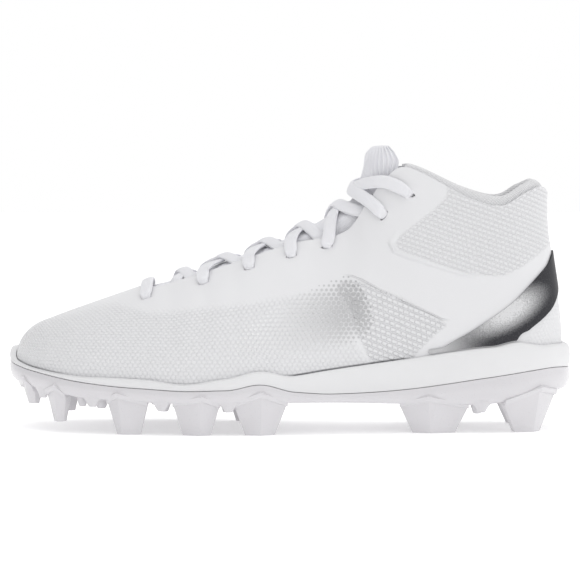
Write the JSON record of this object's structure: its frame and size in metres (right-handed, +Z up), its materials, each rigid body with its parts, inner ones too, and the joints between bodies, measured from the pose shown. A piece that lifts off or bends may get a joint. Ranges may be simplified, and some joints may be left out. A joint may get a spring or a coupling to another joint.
{
  "type": "american football cleat",
  "caption": "White mid-cut football cleat for the left foot: hollow synthetic upper with laced throat, knit tongue, padded collar, silver heel band, foam midsole and moulded blade-stud outsole.",
  "frame": {"origin": "on the floor under the middle of the shoe's box, studs standing on Z = 0", "axes": "+X from the toe to the heel, +Y to the inner side of the left foot, +Z up; right-handed"},
  "size_m": [0.2984, 0.1056, 0.1493],
  "materials": {
    "upper_synthetic": "white textured synthetic skin, satin",
    "collar_mesh": "light grey lining mesh",
    "tongue_knit": "white ribbed knit",
    "insole_foam": "light grey cloth over foam",
    "midsole_foam": "white moulded foam, satin skin",
    "outsole_plastic": "white moulded plastic, half gloss",
    "band_silver": "satin silver film",
    "lace_fabric": "white flat woven lace"
  },
  "bodies": {
    "root": {"upper": "upper_synthetic", "collar_lining": "collar_mesh", "tongue": "tongue_knit", "insole": "insole_foam", "midsole": "midsole_foam", "outsole": "outsole_plastic", "heel_band": "band_silver", "lace_bar": "lace_fabric", "lace_crossing_1": "lace_fabric", "lace_crossing_2": "lace_fabric", "lace_crossing_3": "lace_fabric", "lace_crossing_4": "lace_fabric", "lace_crossing_5": "lace_fabric", "lace_crossing_6": "lace_fabric"}
  },
  "joints": []
}
